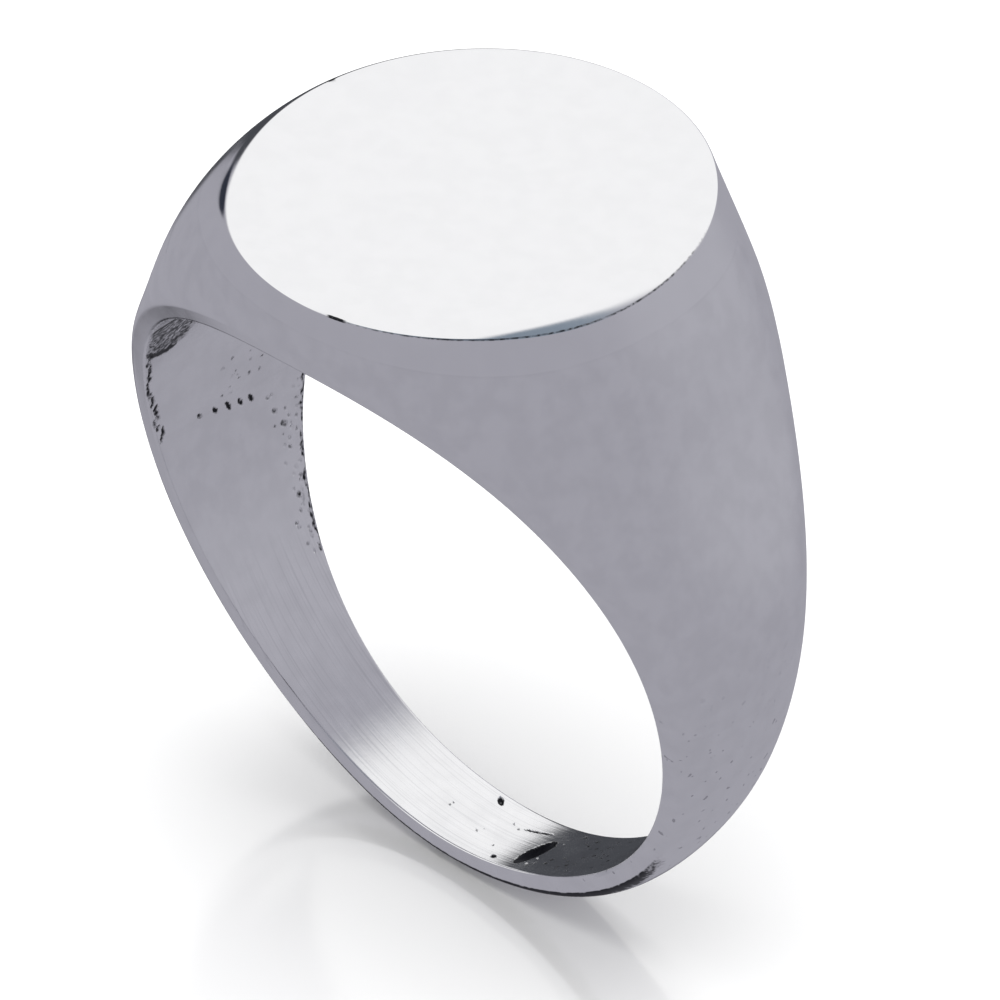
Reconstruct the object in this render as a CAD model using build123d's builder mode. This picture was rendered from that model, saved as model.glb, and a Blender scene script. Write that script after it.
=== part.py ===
from build123d import *

import os
from math import asin, atan2, cos, degrees, radians, sin, sqrt

from scipy.interpolate import CubicSpline

# Signet ring with a hollow-backed head, in millimetres.
# The origin is the centre of the finger bore: X runs across the ring, Y along the finger,
# and +Z points at the flat signet table.
# Angles are degrees about the bore axis, from +X (right shoulder) towards +Z (table).

# Finger bore and the rim that is left standing round it
bore_radius = 9.5
rim_thickness = 0.5  # the flat flank of the band, between the bore and the dome
rim_draw = 0.1  # how far the shank's flank leans in over the rim thickness
head_flare = 0.15  # how far the head's flank leans out instead

# Signet table: an oval flat plate soldered over the hollow head
table_height = 11.9  # above the bore axis
table_half_x = 6.45
table_half_y = 6.8
table_thickness = 0.9
solder_gauge = 0.06  # the film of solder under the plate

# Hollow under the plate, open to the finger
pocket_half_x = 5.0
pocket_half_y = 5.2

# Band: half its width at the bore wall, and the radius of the crown of its dome,
# each at an angle above (or below) the horizontal
width_stations = ((-90, 1.34), (-55, 1.37), (-20, 2.05), (15, 3.33), (50, 5.25), (90, 6.75))
crown_stations = ((-90, 10.45), (-45, 10.38), (-10, 10.42), (20, 11.05), (42, 11.45))
side_bias = 0.087  # the left half is a little wider than the right, as filed by hand

# Soldered joints across the band
seam_angle = 0.6
insert_start = -85.1  # the short sizing piece let into the base of the shank
insert_end = -77.8
insert_slant = -39.0  # its two joints are sawn askew, turned this far about the radius

# Lofting
section_step = 7.0
section_overrun = 9.0
deeper = 0.8  # how far inside the bore wall the sections start, before the bore is cut

# The crown meets the edge of the table at this angle
table_end_angle = degrees(atan2(table_height, table_half_x))


def rim_lean(elevation):
    """How far the flank leans in, from the shank round to the head."""
    rise = min(max((sin(radians(elevation)) - 0.2) / 0.8, 0.0), 1.0)
    blend = rise * rise * (3 - 2 * rise)
    return rim_draw - (rim_draw + head_flare) * blend


def crown_curve(side):
    """The crown's radius up to the table's end, on the right half (side 1) or the left (side -1)."""
    angle = radians(table_end_angle)
    end_crown = table_height / sin(angle)
    half_width = float(width_curve(table_end_angle)) * (1 - side * side_bias * cos(angle))
    dome_half_width = half_width - rim_lean(table_end_angle)
    # it leaves at the slope per degree that the dome over the table starts with
    oval = (table_half_y / dome_half_width) ** 2 * 2 * table_height / (table_half_x * sin(angle) ** 2)
    dome_slope = 0.5 * (end_crown - bore_radius - rim_thickness) * oval
    end_slope = radians(dome_slope - table_height * cos(angle) / sin(angle) ** 2)
    stations = (*crown_stations, (table_end_angle, end_crown))
    return CubicSpline(*zip(*stations), bc_type=((1, 0.0), (1, end_slope)))


width_curve = CubicSpline(*zip(*width_stations), bc_type="clamped")
right_crown, left_crown = crown_curve(1), crown_curve(-1)


def band_section(angle):
    """Half width at the bore wall, half width of the dome, and height of the dome."""
    elevation = degrees(asin(sin(radians(angle))))
    half_width = float(width_curve(elevation)) * (1 - side_bias * cos(radians(angle)))
    dome_half_width = half_width - rim_lean(elevation)
    if elevation <= table_end_angle:
        crown = right_crown if cos(radians(angle)) > 0 else left_crown
        return half_width, dome_half_width, float(crown(elevation)) - bore_radius - rim_thickness
    # above the table's end the dome is drawn as tall as it takes to pass through the table's oval
    rise = sin(radians(elevation))
    x = table_height * cos(radians(elevation)) / rise
    y = table_half_y * sqrt(1 - (x / table_half_x) ** 2)
    at_table = table_height / rise - bore_radius - rim_thickness
    return half_width, dome_half_width, at_table / sqrt(1 - (y / dome_half_width) ** 2)


def radial_plane(angle, slant=0.0):
    """A plane through the centre at an angle, its x outwards and, unslanted, its y along the finger."""
    a, turn = radians(angle), radians(slant)
    normal = (-sin(a) * cos(turn), -sin(turn), cos(a) * cos(turn))
    return Plane(origin=(0, 0, 0), x_dir=(cos(a), 0, sin(a)), z_dir=normal)


def half_dome(half_width, height):
    """Four control points of a quarter ellipse, from the flank up to the crown."""
    foot = bore_radius + rim_thickness
    pull = 0.5523  # makes a cubic curve follow a quarter ellipse
    return (
        (foot, half_width),
        (foot + pull * height, half_width),
        (foot + height, pull * half_width),
        (foot + height, 0),
    )


def band_stretch(start, end, start_slant=0.0, end_slant=0.0):
    """The band between two angles less than half a turn apart, with the bore cut."""
    low, high = start - section_overrun, end + section_overrun
    count = max(4, round((high - low) / section_step))
    with BuildPart() as stretch:
        # one half of the band, out to +Y, is lofted and then mirrored
        for i in range(count + 1):
            angle = low + (high - low) * i / count
            half_width, dome_half_width, dome_height = band_section(angle)
            dome = half_dome(dome_half_width, dome_height)
            deep_half_width = half_width + (half_width - dome_half_width) * deeper / rim_thickness
            with BuildSketch(radial_plane(angle)):
                with BuildLine():
                    Bezier(*dome)
                    Polyline(
                        dome[-1],
                        (bore_radius - deeper, 0),
                        (bore_radius - deeper, deep_half_width),
                        dome[0],
                    )
                make_face()
        loft()
        mirror(about=Plane.XZ)
        Cylinder(bore_radius, 4 * table_half_y, rotation=(90, 0, 0), mode=Mode.SUBTRACT)
        split(bisect_by=radial_plane(start, start_slant), keep=Keep.TOP)
        split(bisect_by=radial_plane(end, end_slant), keep=Keep.BOTTOM)
    return stretch.part


def hand_in(builder, name):
    """Label a finished piece and write it."""
    builder.part.label = name
    export_step(builder.part, f"parts/{name}.step")


os.makedirs("parts", exist_ok=True)

plate_underside = table_height - table_thickness
solder_underside = plate_underside - solder_gauge

# The oval hollow under the plate
with BuildPart() as pocket:
    with BuildSketch():
        Ellipse(pocket_half_x, pocket_half_y)
    extrude(amount=table_height)

# The upper half of the ring, before it is divided into the plate, the solder and the body
upper_half = band_stretch(0, 180)

# Each layer's lowest and highest level, and whether the hollow runs through it
upper_pieces = {
    "signet_table": (plate_underside, table_height, False),
    "table_solder": (solder_underside, plate_underside, True),
    "head_body": (0, solder_underside, True),
}
for name, (low, high, hollow) in upper_pieces.items():
    with BuildPart() as layer:
        add(upper_half)
        with Locations((0, 0, (low + high) / 2)):
            Box(4 * bore_radius, 4 * bore_radius, high - low, mode=Mode.INTERSECT)
        if hollow:
            add(pocket.part, mode=Mode.SUBTRACT)
    hand_in(layer, name)

# The lower half, from the left shoulder round the base to the right shoulder: the angle and the slant
# of each cut across the band, and the name of the piece that starts there
turn_back = 360.0
cuts = (
    (180, 0, "left_shoulder_solder"),
    (180 + seam_angle, 0, "left_shank"),
    (turn_back + insert_start - seam_angle, insert_slant, "left_insert_solder"),
    (turn_back + insert_start, insert_slant, "sizing_insert"),
    (turn_back + insert_end, insert_slant, "right_insert_solder"),
    (turn_back + insert_end + seam_angle, insert_slant, "right_shank"),
    (turn_back - seam_angle, 0, "right_shoulder_solder"),
    (turn_back, 0, None),
)
for (start, start_slant, name), (end, end_slant, _) in zip(cuts, cuts[1:]):
    with BuildPart() as lower_piece:
        add(band_stretch(start, end, start_slant, end_slant))
    hand_in(lower_piece, name)
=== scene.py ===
import math

import bpy
import numpy as np
from mathutils import Matrix, Vector


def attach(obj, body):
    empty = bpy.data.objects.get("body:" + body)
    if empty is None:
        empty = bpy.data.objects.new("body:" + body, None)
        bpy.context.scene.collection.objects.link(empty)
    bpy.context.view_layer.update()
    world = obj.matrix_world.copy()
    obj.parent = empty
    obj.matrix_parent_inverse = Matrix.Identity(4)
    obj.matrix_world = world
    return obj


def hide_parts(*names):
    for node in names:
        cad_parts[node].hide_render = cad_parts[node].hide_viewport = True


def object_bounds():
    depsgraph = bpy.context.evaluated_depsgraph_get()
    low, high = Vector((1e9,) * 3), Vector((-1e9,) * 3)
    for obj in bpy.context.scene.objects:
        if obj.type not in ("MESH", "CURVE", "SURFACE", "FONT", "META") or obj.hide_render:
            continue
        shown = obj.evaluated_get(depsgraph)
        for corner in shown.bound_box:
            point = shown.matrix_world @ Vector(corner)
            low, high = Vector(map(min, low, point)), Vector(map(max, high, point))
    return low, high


# Signet ring. The shape is worked out in millimetres, in the same frame as the CAD part:
# the origin is the centre of the finger bore, Y runs along the finger and +Z points at the table.
# Angles are degrees about the bore axis, from +X (right shoulder) towards +Z (table).

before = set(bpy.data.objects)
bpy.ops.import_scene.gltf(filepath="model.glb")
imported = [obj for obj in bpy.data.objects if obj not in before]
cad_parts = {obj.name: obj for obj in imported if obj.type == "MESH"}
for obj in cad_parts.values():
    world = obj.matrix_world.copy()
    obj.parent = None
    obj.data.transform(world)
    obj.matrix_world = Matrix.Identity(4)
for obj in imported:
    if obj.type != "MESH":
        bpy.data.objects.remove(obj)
cad_low, cad_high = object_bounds()
MM = 0.001

# ---------------------------------------------------------------- driving sizes, as in the CAD part

bore_radius = 9.5
rim_thickness = 0.5  # the flat flank of the band, between the bore and the dome
rim_draw = 0.1
head_flare = 0.15
lean_start = 0.2  # the sine of the elevation from which the flank starts to lean the other way
foot = bore_radius + rim_thickness  # radius at which the dome starts

table_height = 11.9
table_half_x = 6.45
table_half_y = 6.8
plate_underside = 11.0
solder_underside = 10.94

pocket_half_x = 5.0
pocket_half_y = 5.2

width_stations = ((-90, 1.34), (-55, 1.37), (-20, 2.05), (15, 3.33), (50, 5.25), (90, 6.75))
crown_stations = ((-90, 10.45), (-45, 10.38), (-10, 10.42), (20, 11.05), (42, 11.45))
side_bias = 0.087

seam_angle = 0.6
insert_start = -85.1
insert_end = -77.8
insert_slant = -39.0

# What the polishing did to the edges
crown_wear = 0.006  # taken off the crown all round
rim_round = 0.1
crease_round = 0.05
table_round = 0.05
table_drop = 0.008  # how far the polished table falls away by its edge
tip_drop = 0.13  # how much further it falls by the right tip, where the buff ran off
table_roll = 0.55  # how far in from the edge the fall starts
front_left_round = 0.27  # how much rounder the edge is at the front left
nick_depth = 0.05

# Places on the table's edge, in degrees round the oval from +X
run_off = -12
front_left = -140
nick = 172
dash = -76
# where a painted dark reflection runs along the table's front edge
front_reflection_line = -25

table_end_angle = math.degrees(math.atan2(table_height, table_half_x))

# Marks in the bore reach no farther than this from their middles
mark_reach_deg = 8
mark_reach_y = 0.9

# The painted shade patch in the corner of the left shoulder: an oval, by angle and by y in from the front
# rim
patch_middle_deg, patch_half_deg = 150.5, 7.5
patch_middle_in, patch_half_in = 0.8, 1.2

# The painted dark reflection along the lower front crease fades in from its start and fades out at its end
crease_line_start, crease_fade_in = 225, 25
crease_line_end, crease_fade_out = 331, 14

# ---------------------------------------------------------------- the shape of the band


def spline(stations, start_slope, end_slope):
    """A smooth curve through the stations that leaves both ends at the slopes given."""
    x, y = np.array(stations, float).T
    gap = np.diff(x)
    secant = np.diff(y) / gap
    system, right = np.eye(len(x)), np.zeros(len(x))
    right[0], right[-1] = start_slope, end_slope
    for i in range(1, len(x) - 1):
        system[i, i - 1 : i + 2] = gap[i], 2 * (gap[i - 1] + gap[i]), gap[i - 1]
        right[i] = 3 * (gap[i] * secant[i - 1] + gap[i - 1] * secant[i])
    slope = np.linalg.solve(system, right)

    def curve(at):
        i = np.clip(np.searchsorted(x, at) - 1, 0, len(gap) - 1)
        t = (at - x[i]) / gap[i]
        ends = y[i] * (1 + 2 * t) * (1 - t) ** 2 + y[i + 1] * t**2 * (3 - 2 * t)
        return ends + gap[i] * (slope[i] * t * (1 - t) ** 2 + slope[i + 1] * t**2 * (t - 1))

    return curve


def rim_lean(elevation):
    """How far the flank leans in, from the shank round to the head."""
    rise = np.clip((np.sin(np.radians(elevation)) - lean_start) / (1 - lean_start), 0.0, 1.0)
    blend = rise * rise * (3 - 2 * rise)
    return rim_draw - (rim_draw + head_flare) * blend


def crown_curve(side):
    """The crown's radius up to the table's end, on the right half (side 1) or the left (side -1)."""
    angle = math.radians(table_end_angle)
    end_crown = table_height / math.sin(angle)
    half_width = width_curve(table_end_angle) * (1 - side * side_bias * math.cos(angle))
    dome_half_width = float(half_width - rim_lean(table_end_angle))
    # it leaves at the slope per degree that the dome over the table starts with
    oval = (table_half_y / dome_half_width) ** 2 * 2 * table_height
    oval /= table_half_x * math.sin(angle) ** 2
    dome_slope = 0.5 * (end_crown - foot) * oval
    end_slope = math.radians(dome_slope - table_height * math.cos(angle) / math.sin(angle) ** 2)
    return spline((*crown_stations, (table_end_angle, end_crown)), 0, end_slope)


width_curve = spline(width_stations, 0, 0)
right_crown, left_crown = crown_curve(1), crown_curve(-1)


def band(angle):
    """Half width at the bore wall, half width of the dome, and height of the dome."""
    turn = np.radians(angle)
    elevation = np.degrees(np.arcsin(np.sin(turn)))
    half_width = width_curve(elevation) * (1 - side_bias * np.cos(turn))
    dome_half_width = half_width - rim_lean(elevation)
    below = np.minimum(elevation, table_end_angle)
    crown = np.where(np.cos(turn) > 0, right_crown(below), left_crown(below)) - foot
    # above the table's end the dome is drawn as tall as it takes to pass through the table's oval
    rise = np.sin(np.radians(np.maximum(elevation, table_end_angle)))
    x = table_height * np.sqrt(1 - rise**2) / rise
    y = table_half_y * np.sqrt(np.clip(1 - (x / table_half_x) ** 2, 0, 1))
    over_table = (table_height / rise - foot) / np.sqrt(1 - (y / dome_half_width) ** 2)
    height = np.where(elevation > table_end_angle, over_table, crown) - crown_wear
    return half_width, dome_half_width, height


def section(angle, s):
    """Radius and y on the section at an angle: s is 0 at the crown, 1 to 2 round the crease,
    2 to 3 down the flank, 3 to 4 round the rim and 4 to 5 across the bore wall to its middle."""
    half_width, dome_half_width, height = band(angle)
    dome_end = np.arccos(crease_round / height)
    a = np.minimum(s, 1) * dome_end
    dome = foot + height * np.cos(a), dome_half_width * np.sin(a)
    dome_stop = foot + crease_round, dome_half_width * np.sin(dome_end)
    lean = (dome_half_width - half_width) / rim_thickness
    flank = np.clip(s - 2, 0, 1)
    flank_r = foot - crease_round + (rim_round + crease_round - rim_thickness) * flank
    flank_y = half_width + (flank_r - bore_radius) * lean
    crease = rounded(dome_stop, (foot, dome_half_width),
                     (foot - crease_round, half_width + (rim_thickness - crease_round) * lean), s - 1)
    rim = rounded((bore_radius + rim_round, half_width + rim_round * lean), (bore_radius, half_width),
                  (bore_radius, half_width - rim_round), s - 3)
    wall = bore_radius, (half_width - rim_round) * (5 - s)
    steps = [s <= 1, s <= 2, s <= 3, s <= 4]
    r = np.select(steps, [dome[0], crease[0], flank_r, rim[0]], wall[0])
    y = np.select(steps, [dome[1], crease[1], flank_y, rim[1]], wall[1])
    return r, y


def rounded(start, corner, end, t):
    """A corner rounded off between two points near it."""
    t = np.clip(t, 0, 1)
    return tuple((1 - t) ** 2 * a + 2 * t * (1 - t) * b + t**2 * c for a, b, c in zip(start, corner, end))


def scatter(draw, count, angles, across, radii, deepest):
    """Round pits strewn over a patch of the bore wall."""
    return [
        (draw.uniform(*angles), draw.uniform(*across), *[draw.uniform(*radii)] * 2, 0,
         draw.uniform(0.4, 1) * deepest, draw.uniform(0.35, 0.8))
        for _ in range(count)
    ]


def bore_marks():
    """Pits and dents in the bore wall: angle, y, half length, half width, turn, depth, blackness."""
    draw = np.random.default_rng(11)
    marks = scatter(draw, 16, (171, 179), (-0.6, 1.8), (0.05, 0.11), 0.03)
    marks += scatter(draw, 9, (183, 213), (1.2, 1.8), (0.06, 0.13), 0.04)
    marks += scatter(draw, 7, (262, 279), (-0.8, 0.9), (0.03, 0.07), 0.02)
    marks += scatter(draw, 60, (287, 306), (-1.0, 1.1), (0.04, 0.09), 0.006)
    # pits and grime down the two rims of the left shoulder, and a dark spotted line along the front rim
    # above it
    for angle in np.arange(184, 214, 0.8):
        y = float(band(angle)[0]) - draw.uniform(0.03, 0.16)
        size = draw.uniform(0.1, 0.2), draw.uniform(0.04, 0.07)
        marks.append((angle, y, *size, draw.uniform(-15, 15), 0.02, 0.75))
        y -= draw.uniform(0.05, 0.7)
        size = draw.uniform(0.05, 0.09), draw.uniform(0.04, 0.08)
        marks.append((angle, y, *size, 0, 0.03, draw.uniform(0.2, 0.5)))
    for angle in np.arange(157, 181, 1.2):
        y = draw.uniform(0.05, 0.35) - float(band(angle)[0])
        size = draw.uniform(0.12, 0.24), draw.uniform(0.05, 0.11)
        marks.append((angle, y, *size, draw.uniform(-30, 30), 0.05, 0.8))
    for angle in np.arange(104, 142, 2.1):
        y = 0.05 - float(band(angle)[0])
        marks.append((angle, y, draw.uniform(0.08, 0.3), 0.05, 0, 0.01, draw.uniform(0.3, 0.6)))
    # a worn row of plain, parallel dents
    for y, length in ((-1.3, 0.13), (-0.7, 0.2), (-0.2, 0.24), (0.25, 0.2), (0.65, 0.22)):
        marks.append((181.5 + 1.2 * y, y, length, 0.08, 28, 0.05, 0.9))
    # pits at the ends of the sizing piece's left joint, and gaps in the solder beside its right joint
    marks += [(269.5, 1.0, 0.2, 0.1, -40, 0.08, 1), (280, -1.0, 0.1, 0.09, 0, 0.06, 1)]
    marks += [(285.5, -0.25, 0.7, 0.24, 80, 0.22, 3.5), (281, 0.6, 0.5, 0.05, 15, 0.04, 1)]
    return marks


def wear(angle, y):
    """How deep the bore wall is worn at a place, and how black it is there."""
    angle, y = np.broadcast_arrays(np.asarray(angle, float), np.asarray(y, float))
    depth, black = np.zeros(angle.shape), np.zeros(angle.shape)
    for at, across, length, width, turned, deep, dark in marks:
        near = (np.abs(angle - at) < mark_reach_deg) & (np.abs(y - across) < mark_reach_y)
        if near.any():
            u = np.radians(angle[near] - at) * bore_radius
            v = y[near] - across
            c, n = math.cos(math.radians(turned)), math.sin(math.radians(turned))
            far = ((u * c + v * n) / length) ** 2 + ((v * c - u * n) / width) ** 2
            depth[near] = np.maximum(depth[near], deep * np.clip(1 - far, 0, 1))
            black[near] = np.maximum(black[near], dark * np.clip(1.3 - far, 0, 1))
    return depth, np.clip(black, 0, 2)


def blackness(angle, s, side):
    """How black the skin is: wear in the bore, painted shade in the left shoulder's corner and a painted
    dark reflection along the lower front crease.
    """
    r, y = section(angle, s)
    y, angle = np.broadcast_arrays(side * y, angle)
    black = wear(angle, y)[1] * np.clip(s - 3, 0, 1)
    # painted shade in the corner of the left shoulder, in from the rim
    black = np.maximum(black, corner_painted_shade(angle, y) * np.clip(s - 3.4, 0, 1))
    # a painted dark reflection along the lower front crease, on the -Y side only
    low = np.clip((angle - crease_line_start) / crease_fade_in, 0, 1)
    low = low * np.clip((crease_line_end - angle) / crease_fade_out, 0, 1) * (side < 0)
    return np.maximum(black, 1.4 * low * np.exp(-(((s - 0.95) / 0.4) ** 2)))


def corner_painted_shade(angle, y):
    """A painted shade patch in the corner of the left shoulder, darkest along its outline by the rim."""
    inward = y + band(angle)[0]
    far = np.hypot((angle - patch_middle_deg) / patch_half_deg, (inward - patch_middle_in) / patch_half_in)
    inside = 0.62 * np.clip((1 - far) / 0.12, 0, 1)
    edge = 1.3 * np.exp(-(((far - 0.9) / 0.12) ** 2)) * np.clip((1.5 - inward) / 0.6, 0.35, 1)
    return np.maximum(inside, edge) * (y < 0)


def bore_wall(angle, y):
    """Points of the worn bore wall, the normals there and how black it is."""
    turn = np.radians(angle)
    depth, black = wear(angle, y)
    radial = np.stack(np.broadcast_arrays(np.cos(turn), 0.0, np.sin(turn)), axis=-1)
    tangent = np.stack(np.broadcast_arrays(-np.sin(turn), 0.0, np.cos(turn)), axis=-1)
    finger = np.array([0.0, 1.0, 0.0])
    step = 0.01
    turn_step = math.degrees(step / bore_radius)
    around = (wear(angle + turn_step, y)[0] - wear(angle - turn_step, y)[0]) / (2 * step)
    along = (wear(angle, y + step)[0] - wear(angle, y - step)[0]) / (2 * step)
    points = radial * (bore_radius + depth)[..., None] + np.asarray(y)[..., None] * finger
    normals = unit(around[..., None] * tangent + along[..., None] * finger - radial)
    # the wall also takes the painted shade of the left shoulder's corner
    return points, normals, np.maximum(black, corner_painted_shade(angle, y))


def surface(angle, s, side):
    """Points of the band's surface, side being 1 for +Y and -1 for -Y."""
    r, y = section(angle, s)
    r = r + wear(angle, side * y)[0] * np.clip(s - 3, 0, 1)
    turn = np.radians(angle)
    return np.stack(np.broadcast_arrays(r * np.cos(turn), side * y, r * np.sin(turn)), axis=-1)


def unit(vectors):
    return vectors / np.maximum(np.linalg.norm(vectors, axis=-1, keepdims=True), 1e-12)


def surface_normals(angle, s, side):
    """Outward normals of the band's surface."""
    along = surface(angle + 0.02, s, side) - surface(angle - 0.02, s, side)
    across = surface(angle, s + 0.004, side) - surface(angle, s - 0.004, side)
    return unit(np.cross(across, along)) * side


marks = bore_marks()

# ---------------------------------------------------------------- building meshes

merge_steps = 2e4  # steps to a millimetre: points that round to the same step are one
full_turn = np.linspace(0, 2 * math.pi, 385)


class Skin:
    """Gathers patches of surface into one closed mesh whose corners keep their own normals."""

    def __init__(self):
        self.points, self.normals, self.black, self.faces, self.count = [], [], [], [], 0

    def patch(self, points, normals, black=0.0):
        """A grid of quads through an array of points of shape (rows, columns, 3)."""
        rows, columns = points.shape[:2]
        normals = np.broadcast_to(normals, points.shape)
        index = self.count + np.arange(rows * columns).reshape(rows, columns)
        quads = np.stack([index[:-1, :-1], index[:-1, 1:], index[1:, 1:], index[1:, :-1]], axis=-1)
        facing = np.cross(points[1:, 1:] - points[:-1, :-1], points[1:, :-1] - points[:-1, 1:])
        if (facing * normals[:-1, :-1]).sum() < 0:
            quads = quads[..., ::-1]
        self.add(points, normals, quads.reshape(-1, 4).tolist(), black)

    def flat(self, loop, normal):
        """One flat face inside a closed loop of points."""
        normals = np.broadcast_to(np.array(normal, float), loop.shape)
        turning = np.cross(loop - loop[0], np.roll(loop, -1, axis=0) - loop[0]).sum(axis=0)
        order = np.arange(len(loop)) if turning @ normals[0] > 0 else np.arange(len(loop))[::-1]
        self.add(loop, normals, [(self.count + order).tolist()])

    def add(self, points, normals, faces, black=0.0):
        self.points.append(points.reshape(-1, 3))
        self.normals.append(normals.reshape(-1, 3))
        self.black.append(np.broadcast_to(black, points.shape[:-1]).reshape(-1))
        self.faces.extend(faces)
        self.count += points.size // 3

    def piece(self, name, material, slot, *nodes):
        """Makes the mesh, rides it on the frame, and hides the CAD nodes it stands in for."""
        points, normals = np.concatenate(self.points), np.concatenate(self.normals)
        keys = np.round(points * merge_steps).astype(np.int64)
        _, first, merged = np.unique(keys, axis=0, return_index=True, return_inverse=True)
        merged = merged.reshape(-1)
        faces, corners = [], []
        for face in self.faces:
            kept = [k for n, k in enumerate(face) if merged[k] != merged[face[n - 1]]]
            if len(set(merged[k] for k in kept)) >= 3:
                faces.append([int(merged[k]) for k in kept])
                corners.extend(kept)
        name = name + "_finished"
        mesh = bpy.data.meshes.new(name)
        mesh.from_pydata((points[first] * MM).tolist(), [], faces)
        mesh.polygons.foreach_set("use_smooth", [True] * len(mesh.polygons))
        mesh.normals_split_custom_set(normals[corners].tolist())
        blackness_layer = mesh.attributes.new("blackness", "FLOAT", "POINT")
        blackness_layer.data.foreach_set("value", np.concatenate(self.black)[first])
        mesh.materials.append(material)
        thing = bpy.data.objects.new(name, mesh)
        bpy.context.scene.collection.objects.link(thing)
        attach(thing, "root")
        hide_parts(*nodes)


profile_steps = np.concatenate([
    np.linspace(0, 1, 29)[:-1],
    np.linspace(1, 2, 5)[:-1],
    np.linspace(2, 3, 5)[:-1],
    np.linspace(3, 4, 7)[:-1],
    np.linspace(4, 5, 45),
])


def cut_angles(angle, slant, s, side):
    """Where a cut across the band runs: its angle at each step of the section."""
    r, y = section(angle, s)
    return angle + np.degrees(np.arctan2(side * y * math.tan(math.radians(slant)), r))


def shank_piece(name, start, end, material, slot):
    """A closed length of the band's lower half, between two cuts, each an angle and a slant."""
    skin = Skin()
    count = max(4, round((end[0] - start[0]) / 0.25))
    part_way = np.linspace(0, 1, count + 1)[:, None]
    ends = [[], []]
    for side in (1, -1):
        low, high = (cut_angles(angle, slant, profile_steps, side) for angle, slant in (start, end))
        angle = low + (high - low) * part_way
        points = surface(angle, profile_steps, side)
        black = blackness(angle, profile_steps, side)
        skin.patch(points, surface_normals(angle, profile_steps, side), black)
        for at, gathered in zip((0, -1), ends):
            gathered.append(points[at][::side][1:] if gathered else points[at][::side])
    for loop, (angle, slant), facing in zip(ends, (start, end), (-1, 1)):
        turn, tilt = math.radians(angle), math.radians(slant)
        level = math.cos(tilt)
        normal = np.array([-math.sin(turn) * level, -math.sin(tilt), math.cos(turn) * level])
        skin.flat(np.concatenate(loop)[:-1], facing * normal)
    skin.piece(name, material, slot, name)


def tip_angles(level):
    """How far up from the right and from the left the crown of the head reaches a level."""
    climb = np.linspace(20, table_end_angle, 4000)
    heights = [(foot + band(angle)[2]) * np.sin(np.radians(angle)) for angle in (climb, 180 - climb)]
    return [np.interp(level, height, climb) for height in heights]


def clipped_start(angle, level):
    """The s at which the dome meets a level, or 0 where the crown is under it."""
    height = band(angle)[2]
    reach = (level / np.sin(np.radians(angle)) - foot) / height
    dome_end = np.arccos(crease_round / height)
    return np.arccos(np.clip(reach, -1, 1)) / dome_end


def outline(level, around):
    """The head's outline at a level, at turns around it, with the outward normals there."""
    right, left = (level / np.tan(np.radians(tip)) for tip in tip_angles(level))
    x = np.where(np.cos(around) > 0, right, left) * np.cos(around)
    angle = np.degrees(np.arctan2(level, x))
    s = clipped_start(angle, level)
    side = np.where(np.sin(around) < 0, -1.0, 1.0)
    points = surface(angle, s, 1)
    normals = surface_normals(angle, s, 1)
    for values in (points, normals):
        values[:, 1] *= side * (np.abs(np.sin(around)) > 1e-9)
    points[:, 2] = level
    return points, normals


def oval(half_x, half_y, level, around):
    return np.stack([half_x * np.cos(around), half_y * np.sin(around), np.full_like(around, level)], axis=-1)


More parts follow.
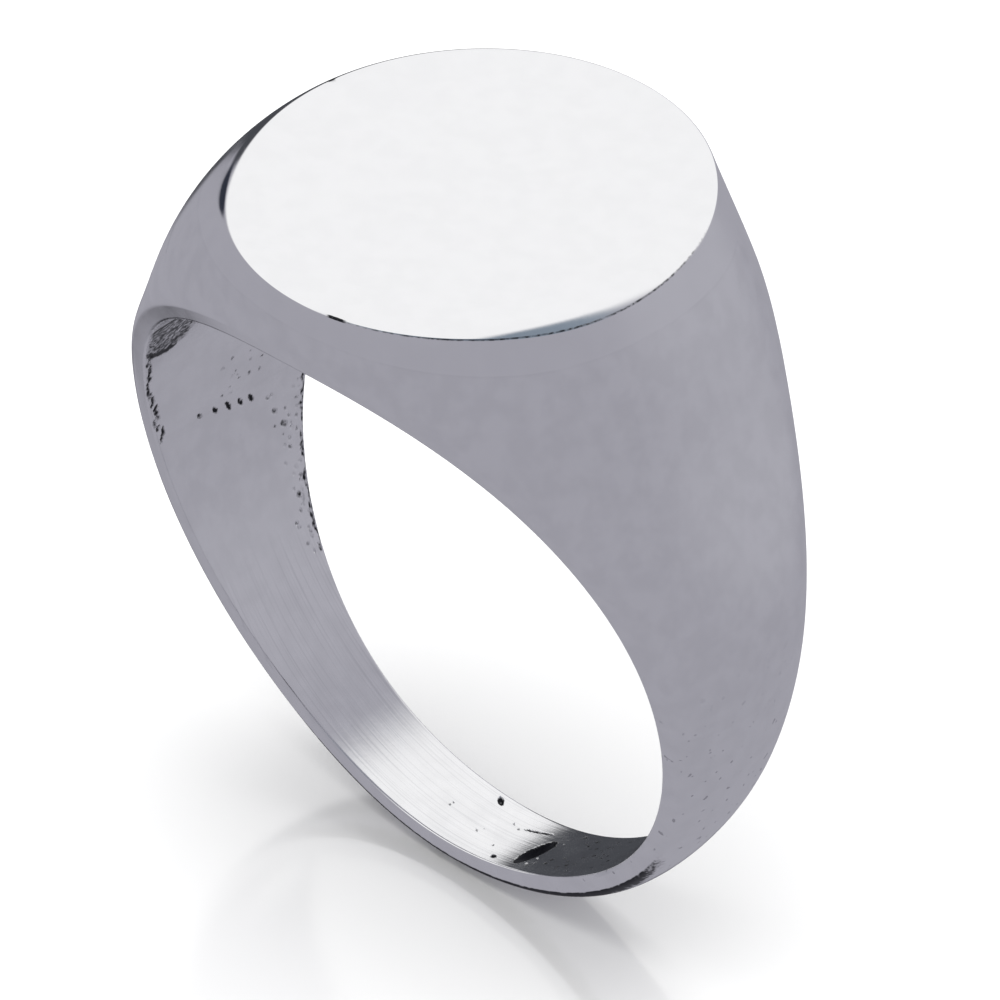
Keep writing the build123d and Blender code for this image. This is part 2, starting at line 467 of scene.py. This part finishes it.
def head_body(material):
    """The head and both shoulders, hollow behind the table plate."""
    skin = Skin()
    tips = tip_angles(solder_underside)
    pocket_tip = math.degrees(math.acos(pocket_half_x / bore_radius))
    quarter = np.linspace(0, math.pi / 2, 49)
    pocket_turns = np.degrees(np.arccos(pocket_half_x * np.cos(quarter) / bore_radius))
    halves = []
    for tip, steps in zip(tips, (101, 201)):
        plate_turns = np.degrees(np.arctan2(math.tan(math.radians(tip)), np.cos(quarter)))
        halves.append(np.concatenate([np.linspace(0, tip, steps), plate_turns, pocket_turns]))
    angle = np.unique(np.round(np.concatenate([halves[0], 180 - halves[1]]), 3))[:, None]

    # outside, from the crown or the plate's outline down and round the rim
    under_crown = (angle <= tips[0] + 0.002) | (angle >= 180 - tips[1] - 0.002)
    top = np.where(under_crown, 0, clipped_start(angle, solder_underside))
    down = np.concatenate([np.linspace(0, 1, 33)[:-1] ** 1.3, [1]])[None, :]
    lower = profile_steps[(profile_steps > 1) & (profile_steps <= 4)][None, :]
    lower = np.broadcast_to(lower, (len(angle), lower.shape[1]))
    s = np.concatenate([top + (1 - top) * down, lower], axis=1)

    turn = np.radians(angle)
    x_wall = bore_radius * np.cos(turn)
    pocket_y = pocket_half_y * np.sqrt(np.clip(1 - (x_wall / pocket_half_x) ** 2, 0, 1))
    rim_y = band(angle)[0] - rim_round
    across = np.linspace(0, 1, 49)[None, :]
    wall_y = rim_y + (pocket_y - rim_y) * across
    inside = (angle[:, 0] >= pocket_tip - 0.01) & (angle[:, 0] <= 180 - pocket_tip + 0.01)
    under_plate = (angle[:, 0] >= tips[0] - 0.001) & (angle[:, 0] <= 180 - tips[1] + 0.001)

    ends = [[], []]
    for side in (1, -1):
        points = surface(angle, s, side)
        points[under_plate, 0, 2] = solder_underside
        skin.patch(points, surface_normals(angle, s, side), blackness(angle, s, side))
        wall, wall_normal, wall_black = bore_wall(angle, side * wall_y)
        skin.patch(wall, wall_normal, wall_black)

        # the wall of the hollow, from the bore up to the plate
        mouth = wall[inside, -1]
        rise = np.linspace(0, 1, 9)[None, :, None]
        roof = mouth * [1, 1, 0] + [0, 0, solder_underside]
        hollow = mouth[:, None] * (1 - rise) + roof[:, None] * rise
        out = unit(mouth / [pocket_half_x**2, pocket_half_y**2, 1] * [1, 1, 0])
        skin.patch(hollow, -out[:, None])

        # the flat under the solder
        rim = points[under_plate, 0] * [1, 1, 0] + [0, 0, solder_underside]
        x_in = np.clip(wall[under_plate, -1, 0], -pocket_half_x, pocket_half_x)
        y_in = side * pocket_y[under_plate, 0]
        hole = np.stack([x_in, y_in, np.full_like(x_in, solder_underside)], axis=-1)
        skin.patch(np.stack([rim, hole], axis=1), np.array([0.0, 0, 1]))

        for at, loop in zip((0, -1), ends):
            half = np.concatenate([points[at], wall[at, 1:]])[::side]
            loop.append(half[1:] if loop else half)

    # the shoulders' end faces, where the shanks are soldered on
    for loop in ends:
        skin.flat(np.concatenate(loop)[:-1], (0, 0, -1))
    skin.piece("head_body", material, "silver", "head_body")


def table_solder(material):
    """The film of solder between the head and the table plate."""
    skin = Skin()
    low, low_normal = outline(solder_underside, full_turn)
    high, high_normal = outline(plate_underside, full_turn)
    skin.patch(np.stack([low, high]), np.stack([low_normal, high_normal]))
    hole_low = oval(pocket_half_x, pocket_half_y, solder_underside, full_turn)
    hole_high = oval(pocket_half_x, pocket_half_y, plate_underside, full_turn)
    inward = -unit(hole_low / [pocket_half_x**2, pocket_half_y**2, 1] * [1, 1, 0])
    skin.patch(np.stack([hole_high, hole_low]), np.stack([inward, inward]))
    skin.patch(np.stack([high, hole_high]), np.array([0.0, 0, 1]))
    skin.patch(np.stack([hole_low, low]), np.array([0.0, 0, -1]))
    skin.piece("table_solder", material, "silver_solder", "table_solder")


def swell(around, middle, spread, power=2):
    """1 at a middle, in degrees round the table, falling off to 0 over a spread in radians."""
    away = (around - math.radians(middle) + math.pi) % (2 * math.pi) - math.pi
    return np.exp(-((away / spread) ** power))


def signet_table(material):
    """The plate with the blank oval table, its edge broken by polishing."""
    skin = Skin()
    around = full_turn
    drop = table_drop + tip_drop * swell(around, run_off, 0.55)
    drop += nick_depth * swell(around, nick, 0.02)
    round_off = table_round + front_left_round * swell(around, front_left, 0.5)
    black = np.maximum(swell(around, nick, 0.025), swell(around, dash, 0.045, 4))

    # the side, up to where the edge starts to turn over
    side = []
    for rise in np.linspace(0, 1, 13):
        level = plate_underside + rise * (table_height - drop - round_off - plate_underside)
        side.append(outline(level, around))
    skin.patch(np.stack([points for points, _ in side]), np.stack([normals for _, normals in side]))

    # the top, in rings from the turned edge to the middle
    out = unit(np.stack([np.cos(around) / table_half_x, np.sin(around) / table_half_y, 0 * around], axis=-1))
    brink = outline(table_height - crown_wear - drop, around)[0] * [1, 1, 0]
    edge = brink - out * round_off[:, None]
    rings, tilts = [], []
    for inward in np.linspace(0, table_roll, 15):
        past = 1 - inward / table_roll
        fall = (table_height - drop * past**2)[:, None] * [0, 0, 1]
        rings.append(edge - out * inward + fall)
        tilts.append(unit(out * (2 * drop * past / table_roll)[:, None] + [0, 0, 1]))
    flat_edge = rings[-1]
    for k in np.linspace(1, 0, 9)[1:]:
        rings.append(flat_edge * [k, k, 1])
        tilts.append(tilts[-1])

    # the turned edge
    start, start_normal = side[-1]
    end, end_normal = rings[0], tilts[0]
    corner = brink + (table_height - drop - 2 * drop / table_roll * round_off)[:, None] * [0, 0, 1]
    along = np.stack([-out[:, 1], out[:, 0], 0 * out[:, 0]], axis=-1)
    # a painted dark reflection laid along the turned edge at the front of the table
    line = 0.6 * swell(around, front_reflection_line, 1.0, 4)
    turned, turned_normals, blacks = [], [], []
    for t in np.linspace(0, 1, 9):
        turned.append((1 - t) ** 2 * start + 2 * t * (1 - t) * corner + t**2 * end)
        tangent = (1 - t) * (corner - start) + t * (end - corner)
        turned_normals.append(unit(np.cross(along, tangent)))
        blacks.append(np.maximum(black, line * math.sin(math.pi * t)))
    turned_normals[0], turned_normals[-1] = start_normal, end_normal
    skin.patch(np.stack(turned), np.stack(turned_normals), np.stack(blacks))
    skin.patch(np.stack(rings), np.stack(tilts))
    skin.flat(side[0][0][:-1], (0, 0, -1))
    skin.piece("signet_table", material, "polished_table", "signet_table")


# ---------------------------------------------------------------- materials


def soft_step(tree, value, start, end):
    """A smooth rise from 0 to 1 as a value goes from start to end."""
    node = tree.nodes.new("ShaderNodeMapRange")
    node.interpolation_type = "SMOOTHERSTEP"
    node.inputs["From Min"].default_value = start
    node.inputs["From Max"].default_value = end
    tree.links.new(value, node.inputs["Value"])
    return node.outputs["Result"]


def arithmetic(tree, operation, *values):
    """A maths node, each value a number or another node's output."""
    node = tree.nodes.new("ShaderNodeMath")
    node.operation = operation
    for value, socket in zip(values, node.inputs):
        if isinstance(value, (int, float)):
            socket.default_value = value
        else:
            tree.links.new(value, socket)
    return node.outputs[0]


def blend(tree, amount, under, over):
    """One colour laid over another by an amount. A mix node's colours are its sockets 6 and 7."""
    node = tree.nodes.new("ShaderNodeMix")
    node.data_type = "RGBA"
    for socket, value in ((node.inputs[0], amount), (node.inputs[6], under), (node.inputs[7], over)):
        if isinstance(value, tuple):
            socket.default_value = (*value, 1)
        else:
            tree.links.new(value, socket)
    return node.outputs[2]


def ramp(tree, value, start, end, low, high):
    """A value's range from start to end turned into the range from low to high."""
    node = tree.nodes.new("ShaderNodeMapRange")
    for name, number in (("From Min", start), ("From Max", end), ("To Min", low), ("To Max", high)):
        node.inputs[name].default_value = number
    tree.links.new(value, node.inputs["Value"])
    return node.outputs["Result"]


def noise(tree, vector, scale, detail):
    node = tree.nodes.new("ShaderNodeTexNoise")
    node.inputs["Scale"].default_value = scale
    node.inputs["Detail"].default_value = detail
    tree.links.new(vector, node.inputs["Vector"])
    return node.outputs["Fac"]


def bump(tree, height, strength, distance, under=None):
    node = tree.nodes.new("ShaderNodeBump")
    node.inputs["Strength"].default_value = strength
    node.inputs["Distance"].default_value = distance
    tree.links.new(height, node.inputs["Height"])
    if under is not None:
        tree.links.new(under, node.inputs["Normal"])
    return node.outputs["Normal"]


# black for worn pits, also used for painted shade and painted dark reflections
tarnish_and_painted_shade = (0.025, 0.026, 0.03)
speck_grey = (0.3, 0.3, 0.32)
scratch_grey = (0.5, 0.51, 0.53)


def silver(name, bright, dull, roughness, grain):
    """Silver with a mottled polish, fine scratches round the bore, specks, blackened wear, painted shade and
    painted dark reflections.
    """
    material = bpy.data.materials.new(name)
    material.use_nodes = True
    tree = material.node_tree
    shader = tree.nodes["Principled BSDF"]
    shader.inputs["Metallic"].default_value = 1.0
    place = tree.nodes.new("ShaderNodeTexCoord").outputs["Object"]
    split = tree.nodes.new("ShaderNodeSeparateXYZ")
    tree.links.new(place, split.inputs[0])
    x, y, z = (split.outputs[axis] for axis in "XYZ")
    squares = [arithmetic(tree, "MULTIPLY", axis, axis) for axis in (x, z)]
    radius = arithmetic(tree, "SQRT", arithmetic(tree, "ADD", *squares))
    in_bore = soft_step(tree, radius, (bore_radius + 0.16) * MM, (bore_radius + 0.08) * MM)
    at_base = arithmetic(tree, "MULTIPLY", in_bore, soft_step(tree, z, -3 * MM, -7 * MM))

    mottle = noise(tree, place, 1400, 8)
    fine = noise(tree, place, 7000, 3)
    colour = blend(tree, ramp(tree, mottle, 0.38, 0.62, 0, 1), dull, bright)

    # scratches that run round the bore
    turn = arithmetic(tree, "ARCTAN2", z, x)
    unrolled = tree.nodes.new("ShaderNodeCombineXYZ")
    tree.links.new(turn, unrolled.inputs[0])
    tree.links.new(arithmetic(tree, "MULTIPLY", y, 9000.0), unrolled.inputs[1])
    scratches = noise(tree, unrolled.outputs[0], 1.7, 4)
    scratched = arithmetic(tree, "MULTIPLY", at_base, ramp(tree, scratches, 0.5, 0.75, 0, 0.35))
    colour = blend(tree, scratched, colour, scratch_grey)

    # dark specks low on the right shoulder
    speck = soft_step(tree, noise(tree, place, 4200, 1), 0.68, 0.74)
    to_right = soft_step(tree, x, 3 * MM, 8 * MM)
    low_right = arithmetic(tree, "MULTIPLY", to_right, soft_step(tree, z, 3 * MM, -3 * MM))
    speck = arithmetic(tree, "MULTIPLY", speck, low_right)
    colour = blend(tree, arithmetic(tree, "MULTIPLY", speck, 0.6), colour, speck_grey)

    # the blackness set on the mesh, with a ragged edge: wear and pits, painted shade and painted dark
    # reflections
    layer = tree.nodes.new("ShaderNodeAttribute")
    layer.attribute_name = "blackness"
    ragged = arithmetic(tree, "MULTIPLY", layer.outputs["Fac"], ramp(tree, fine, 0.35, 0.62, 0.55, 1.2))
    black = soft_step(tree, ragged, 0.1, 0.85)
    tree.links.new(blend(tree, black, colour, tarnish_and_painted_shade), shader.inputs["Base Color"])

    # rougher in the black, smoother on the buffed table and round the base of the bore
    rough = ramp(tree, mottle, 0.35, 0.65, roughness * 0.85, roughness * 1.2)
    rough = arithmetic(tree, "ADD", rough, arithmetic(tree, "MULTIPLY", black, 0.25))
    on_table = soft_step(tree, z, (table_height - 0.3) * MM, (table_height - 0.1) * MM)
    buffed = arithmetic(tree, "MULTIPLY", on_table, 0.11)
    rough = arithmetic(tree, "SUBTRACT", rough, buffed)
    rough = arithmetic(tree, "SUBTRACT", rough, arithmetic(tree, "MULTIPLY", at_base, 0.08))
    tree.links.new(rough, shader.inputs["Roughness"])
    normal = bump(tree, fine, grain, 0.02 * MM)
    normal = bump(tree, arithmetic(tree, "MULTIPLY", scratches, at_base), 0.25, 0.012 * MM, normal)
    tree.links.new(normal, shader.inputs["Normal"])
    return material


# ---------------------------------------------------------------- the ring

polished = silver("polished_silver", (0.92, 0.92, 0.925), (0.87, 0.87, 0.875), 0.2, 0.05)
mirror = silver("mirror_silver", (0.92, 0.92, 0.925), (0.9, 0.9, 0.905), 0.2, 0.02)
solder = silver("silver_solder", (0.91, 0.91, 0.915), (0.86, 0.86, 0.865), 0.2, 0.05)

signet_table(mirror)
table_solder(solder)
head_body(polished)
cuts = (
    (180, 0, "left_shoulder_solder"),
    (180 + seam_angle, 0, "left_shank"),
    (360 + insert_start - seam_angle, insert_slant, "left_insert_solder"),
    (360 + insert_start, insert_slant, "sizing_insert"),
    (360 + insert_end, insert_slant, "right_insert_solder"),
    (360 + insert_end + seam_angle, insert_slant, "right_shank"),
    (360 - seam_angle, 0, "right_shoulder_solder"),
    (360, 0, None),
)
for (*start, name), (*end, _) in zip(cuts, cuts[1:]):
    material, slot = (solder, "silver_solder") if name.endswith("solder") else (polished, "silver")
    shank_piece(name, start, end, material, slot)

# ---------------------------------------------------------------- floor, light and camera

camera_distance = 0.5
azimuth, elevation, roll = math.radians(45.77), math.radians(37.0), math.radians(-0.46)
level = math.cos(elevation)
towards = Vector((math.sin(azimuth) * level, -math.cos(azimuth) * level, math.sin(elevation)))
level_right = Vector((math.cos(azimuth), math.sin(azimuth), 0))
level_up = towards.cross(level_right)
right = level_right * math.cos(roll) + level_up * math.sin(roll)
up = level_up * math.cos(roll) - level_right * math.sin(roll)
camera_data = bpy.data.cameras.new("camera")
camera_data.sensor_width = 36
camera_data.lens = 659.5
camera_data.clip_start, camera_data.clip_end = 0.01, 5
camera = bpy.data.objects.new("camera", camera_data)
target = right * 0.688 * MM + up * 1.195 * MM  # what the camera looks at, a little off the bore's middle
turned = Matrix((right, up, towards)).transposed().to_4x4()
camera.matrix_world = Matrix.Translation(target + towards * camera_distance) @ turned
bpy.context.scene.collection.objects.link(camera)
bpy.context.scene.camera = camera

bpy.context.scene.view_settings.view_transform = "Standard"


def direction(azimuth_deg, elevation_deg):
    """A direction from the ring, its azimuth from +Y towards +X."""
    a, e = math.radians(azimuth_deg), math.radians(elevation_deg)
    return (math.sin(a) * math.cos(e), math.cos(a) * math.cos(e), math.sin(e))


def towards_direction(tree, vector, axis):
    """The cosine of the angle between a vector and an axis."""
    node = tree.nodes.new("ShaderNodeVectorMath")
    node.operation = "DOT_PRODUCT"
    tree.links.new(vector, node.inputs[0])
    node.inputs[1].default_value = axis
    return node.outputs["Value"]


card = (0.374, 0.369, 0.418)
white_panel = (0.97, 0.97, 0.98)
gap = (0.03, 0.031, 0.036)
gap_above = (0.065, 0.068, 0.078)
lit_room = (0.86, 0.86, 0.86)  # what the floor is lit by
backdrop = (1.0, 1.0, 1.0)  # what the camera sees


def studio():
    """Grey card, a white panel opposite the camera, a darker ceiling and dark gaps low behind the ring."""
    world = bpy.data.worlds.new("studio")
    bpy.context.scene.world = world
    world.use_nodes = True
    tree = world.node_tree
    way = tree.nodes.new("ShaderNodeTexCoord").outputs["Generated"]
    split = tree.nodes.new("ShaderNodeSeparateXYZ")
    tree.links.new(way, split.inputs[0])
    height = split.outputs["Z"]
    # each area: the middle of the cap of sky it covers, the cosines of its outer and inner edge, its tone
    areas = (
        (direction(30, 15), 0.7, 0.98, (0.43, 0.425, 0.475)),
        (direction(0, 90), 0.82, 0.93, (0.23, 0.275, 0.335)),
        (direction(0, 90), 0.965, 0.99, (0.09, 0.1, 0.13)),
        (direction(-62, -52), 0.961, 0.988, gap),
        (direction(-50, -42), 0.982, 0.9945, gap),
        (direction(-54, -20), 0.974, 0.99, (0.05, 0.052, 0.06)),
        (direction(-50, -8), 0.951, 0.978, gap_above),
        (direction(-54, 6), 0.951, 0.978, gap_above),
        (direction(-77, 7), 0.982, 0.995, (0.03, 0.034, 0.05)),
    )
    colour = card
    for middle, edge, full, tone in areas:
        colour = blend(tree, soft_step(tree, towards_direction(tree, way, middle), edge, full), colour, tone)
    foot_of_panel = soft_step(tree, height, 0.24, 0.41)
    panel = arithmetic(tree, "MULTIPLY", foot_of_panel, soft_step(tree, height, 0.93, 0.85))
    beside = soft_step(tree, towards_direction(tree, way, direction(-75, 0)), -0.12, 0.3)
    colour = blend(tree, arithmetic(tree, "MULTIPLY", panel, beside), colour, white_panel)
    light_path = tree.nodes.new("ShaderNodeLightPath")
    colour = blend(tree, light_path.outputs["Is Diffuse Ray"], colour, lit_room)
    colour = blend(tree, light_path.outputs["Is Camera Ray"], colour, backdrop)
    tree.links.new(colour, tree.nodes["Background"].inputs["Color"])


def floor(level):
    """A white, slightly glossy table top under the ring."""
    mesh = bpy.data.meshes.new("floor")
    reach = 1.5
    corners = [(x * reach, y * reach, level) for x, y in ((-1, -1), (1, -1), (1, 1), (-1, 1))]
    mesh.from_pydata(corners, [], [(0, 1, 2, 3)])
    material = bpy.data.materials.new("white_acrylic")
    material.use_nodes = True
    tree = material.node_tree
    shader = tree.nodes["Principled BSDF"]
    shader.inputs["Base Color"].default_value = (0.9, 0.9, 0.9, 1)
    shader.inputs["Roughness"].default_value = 0.12
    shader.inputs["IOR"].default_value = 2.2
    mesh.materials.append(material)
    plane = bpy.data.objects.new("floor", mesh)
    plane.visible_glossy = False
    bpy.context.scene.collection.objects.link(plane)


def floor_light():
    """Soft light from above for the floor. The ring mirrors the studio, not this light."""
    data = bpy.data.lights.new("overhead", "AREA")
    data.shape = "DISK"
    data.size = 0.6
    data.energy = 2.4
    light = bpy.data.objects.new("overhead", data)
    light.location = (0, 0, 0.5)
    light.visible_glossy = False
    light.visible_camera = False
    bpy.context.scene.collection.objects.link(light)


studio()
floor(cad_low.z)
floor_light()
